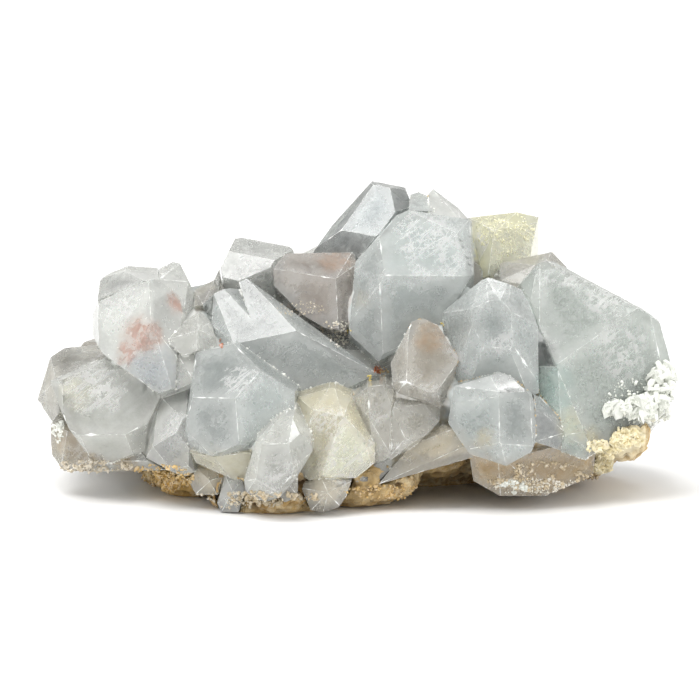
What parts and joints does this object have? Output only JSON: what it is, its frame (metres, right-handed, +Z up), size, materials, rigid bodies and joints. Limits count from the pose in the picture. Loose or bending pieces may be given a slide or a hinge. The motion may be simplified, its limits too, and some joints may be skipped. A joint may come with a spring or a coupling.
{
  "type": "celestite cluster",
  "caption": "Cluster of blocky pale blue celestite crystals with flat faces, grown together on a crust of brown rock, resting on its flat cut foot.",
  "frame": {"origin": "on the surface it rests on, under the middle of the whole", "axes": "+Z up, +X to the right and +Y away from the viewer of the front"},
  "size_m": [0.1282, 0.0868, 0.0609],
  "materials": {
    "celestite": "glossy flat crystal faces, clear to milky pale blue",
    "brown_rock": "rough, pitted stone",
    "white_crust": "sparkling crust of small crystals"
  },
  "bodies": {
    "root": {"crystals": "celestite", "matrix": "brown_rock", "sugary_crust": "white_crust"}
  },
  "joints": []
}
